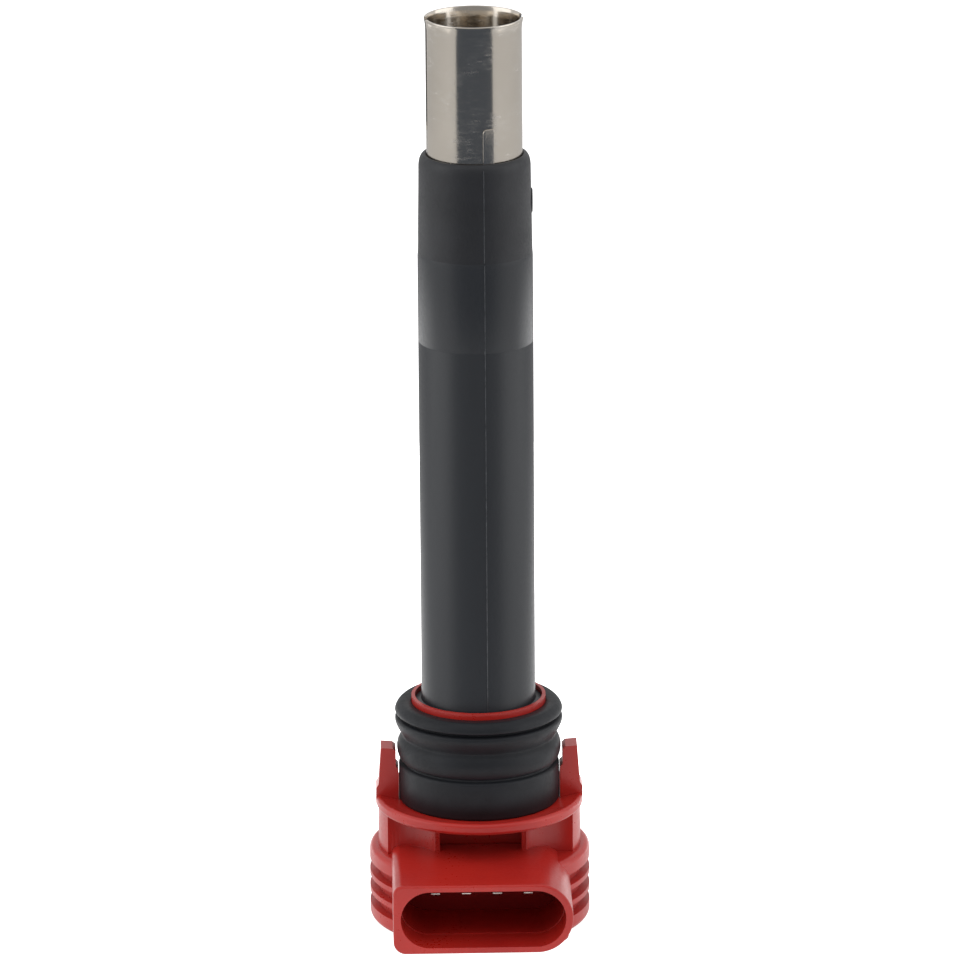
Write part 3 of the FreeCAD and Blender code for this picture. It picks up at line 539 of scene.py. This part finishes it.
def collar_piece(finish, flash_finish):
    """The rubber end collar: a root in the tube, a slight taper, a rounded lip, a mould seam and a vent."""
    low_z = box_mm("end_collar")[0].z
    base_z, top = box_mm("coil_tube")[1].z, 127.7
    inner, root, base = 7.68, 8.27, 9.1
    collar = turned("end_collar_rubber", [
        (inner, low_z + 0.05), (root, low_z), (root, base_z), (base + 0.03, base_z),
        (base + 0.02, base_z + 0.5), (base, base_z + 1.2), (9.05, 117.5),
        (8.97, 122.0), (8.93, top - 1.9), (8.87, top - 1.3), (8.77, top - 0.85), (8.62, top - 0.5),
        (8.42, top - 0.22), (8.2, top - 0.06), (7.98, top), (7.82, top - 0.04), (7.72, top - 0.16),
        (inner, top - 0.4)])
    seam = box_piece("seam", (-0.08, -base - 0.05, 0), (0.08, -base + 0.4, top - base_z - 1.0), 0.04)
    seam.rotation_euler = (-math.atan2(base - 8.93, top - base_z - 1.9), 0, 0)
    seam.location = (0, 0, (base_z + 0.1) * MM)
    put_place_in_mesh(seam)
    swing(seam, SEAM_TURN)
    seam.data.materials.append(flash_finish)
    start_afresh()
    vent_z = top - 7.9
    bpy.ops.mesh.primitive_torus_add(major_segments=48, minor_segments=10, major_radius=1.0 * MM,
                                     minor_radius=0.22 * MM, location=(8.98 * MM, 0, vent_z * MM),
                                     rotation=(0, math.radians(90), 0))
    vent = bpy.context.object
    vent.scale = (1.7, 1, 1)
    put_place_in_mesh(vent)
    vent.data.materials.append(finish)
    start_afresh()
    bpy.ops.mesh.primitive_cylinder_add(vertices=40, radius=0.8 * MM, depth=3 * MM,
                                        location=(9.5 * MM, 0, vent_z * MM), rotation=(0, math.radians(90), 0))
    hole = bpy.context.object
    hole.scale = (1.8, 1, 1)
    put_place_in_mesh(hole)
    cut(collar, hole)
    collar.data.materials.append(finish)
    join(collar, seam, vent)
    settle(collar, "end_collar", finish)


def sleeve_piece(finish, fold_finish):
    """The plated sleeve: flared rim, two long slots with round ends, and the turned-over end of its sheet."""
    low, high = box_mm("contact_sleeve")
    inner, outer, rim = 7.2, 7.65, high.z
    sleeve = turned("contact_sleeve_plated", [
        (inner, low.z + 0.08), (inner + 0.08, low.z), (outer - 0.08, low.z), (outer, low.z + 0.08),
        (outer, 120.0), (outer, 134.0), (outer, rim - 1.75), (outer + 0.03, rim - 1.4), (outer + 0.1, rim - 0.9),
        (outer + 0.19, rim - 0.35), (outer + 0.24, rim - 0.1), (outer + 0.2, rim - 0.01), (outer + 0.05, rim),
        (inner + 0.28, rim - 0.02), (inner + 0.22, rim - 0.12), (inner + 0.12, rim - 0.7),
        (inner + 0.04, rim - 1.35), (inner, rim - 1.8)], sides=160)
    slot_low, slot_half, slot_turn = rim - 17, 1.1, 5
    slot = box_piece("slot", (-12, -slot_half, slot_low), (12, slot_half, rim + 2))
    start_afresh()
    bpy.ops.mesh.primitive_cylinder_add(vertices=48, radius=slot_half * MM, depth=24 * MM,
                                        location=(0, 0, slot_low * MM), rotation=(0, math.radians(90), 0))
    relief = bpy.context.object
    put_place_in_mesh(relief)
    for tool in (slot, relief):
        swing(tool, slot_turn)
        cut(sleeve, tool)
    tidy(sleeve)
    bevel(sleeve, 0.05, 2, 55)
    fold = box_piece("fold", (0, -0.26, 126.0), (1.9, 0.3, 133.3))
    bevel_corner(fold, 0, 133.3, 0.7, 6)
    bevel(fold, 0.12, 4)
    fold.rotation_euler = (0, 0, math.radians(7))
    fold.location = (0, -outer * MM, 0)
    put_place_in_mesh(fold)
    swing(fold, SEAM_TURN + 0.6)
    sleeve.data.materials.append(finish)
    fold.data.materials.append(fold_finish)
    join(sleeve, fold)
    settle(sleeve, "contact_sleeve", finish, angle=40)


def seal_piece(finish):
    """The lobed rubber seal that plugs the mouth of the well."""
    seat_z = box_mm("flange_seal")[0].z
    seal = turned("flange_seal_rubber", [(radius, seat_z + z) for radius, z in SEAL_OUTLINE], sides=160)
    settle(seal, "flange_seal", finish, angle=50)


def spring_piece(finish):
    """Seven turns of wire for the plug contact to press on, made at one length."""
    wire, turns, mid_radius = 0.35, 7, 2.3
    bottom = box_mm("suppression_resistor")[1].z
    top = bottom + 10.4
    start_afresh()
    bpy.ops.mesh.primitive_circle_add(vertices=12, radius=wire * MM, fill_type="NGON",
                                      location=(mid_radius * MM, 0, (bottom + wire) * MM),
                                      rotation=(math.radians(90), 0, 0))
    spring = bpy.context.object
    spring.name = "contact_spring_wire"
    put_place_in_mesh(spring)
    pitch = (top - bottom - 2 * wire) / turns
    winding = spring.modifiers.new("winding", "SCREW")
    winding.axis = "Z"
    winding.screw_offset = pitch * MM
    winding.iterations = turns
    winding.steps = winding.render_steps = 32
    winding.use_merge_vertices = False
    apply_all(spring)
    pick(spring)
    bpy.ops.object.mode_set(mode="EDIT")
    bpy.ops.mesh.select_all(action="SELECT")
    bpy.ops.mesh.remove_doubles(threshold=0.001 * MM)
    bpy.ops.mesh.fill_holes(sides=0)
    bpy.ops.mesh.select_all(action="SELECT")
    bpy.ops.mesh.normals_make_consistent(inside=False)
    bpy.ops.object.mode_set(mode="OBJECT")
    settle(spring, "contact_spring", finish, angle=60)
    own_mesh(spring)


def head_piece(finish, painted_shade_finish):
    """The red head; the back wall of its connector's deep cavity takes a duller red with painted shade in its
    darker colour.
    """
    head = rounded_copy("head_housing", "head_moulding", 0.16, 2, 28)
    low, high = box_mm("terminal_supply")
    deep, floor_z, roof_z = low.y - 0.4, high.z - 12.0, high.z + 4.0
    settle(head, "head_housing", finish, angle=34)
    even_out(head)
    # The cavity's back wall, facing out of the cavity, gets the darker red: painted shade of the deep cavity, with
    # duller gloss.
    head.data.materials.append(painted_shade_finish)
    for face in head.data.polygons:
        middle = face.center / MM
        in_cavity = deep < middle.y < deep + 8 and abs(middle.x) < 13.2 and floor_z < middle.z < roof_z
        if in_cavity and face.normal.y < -0.9:
            face.material_index = 1


def cover_piece(finish):
    cover = rounded_copy("head_cover", "head_cover_moulding", 0.25, 3, 28)
    settle(cover, "head_cover", finish, angle=34)
    even_out(cover)


def blade_pieces(finish):
    for node in ("terminal_supply", "terminal_ground", "terminal_signal", "terminal_engine_ground"):
        blade = rounded_copy(node, node.replace("terminal", "blade"), 0.07, 2, 28)
        settle(blade, node, finish, angle=34)


add_camera()
add_world()
add_floor()
add_softbox("left_panel", azimuth=-80, elevation=10, distance=1.6, width=1.6, height=1.8, power=9)
add_softbox("right_panel", azimuth=80, elevation=10, distance=1.6, width=1.6, height=1.8, power=9)
add_softbox("front_top_panel", azimuth=-8, elevation=58, distance=1.6, width=1.8, height=1.2,
            power=9, in_gloss=False)
bpy.context.scene.view_settings.view_transform = "Standard"

finishes = make_finishes()
paint_cad_nodes(finishes)
head_piece(finishes["red"], finishes["red_painted_shade"])
cover_piece(finishes["red_cover"])
blade_pieces(finishes["tin"])
seal_piece(finishes["seal"])
tube_piece(finishes["tube"], finishes["flash"])
collar_piece(finishes["collar"], finishes["flash"])
sleeve_piece(finishes["sleeve"], finishes["fold"])
spring_piece(finishes["spring"])
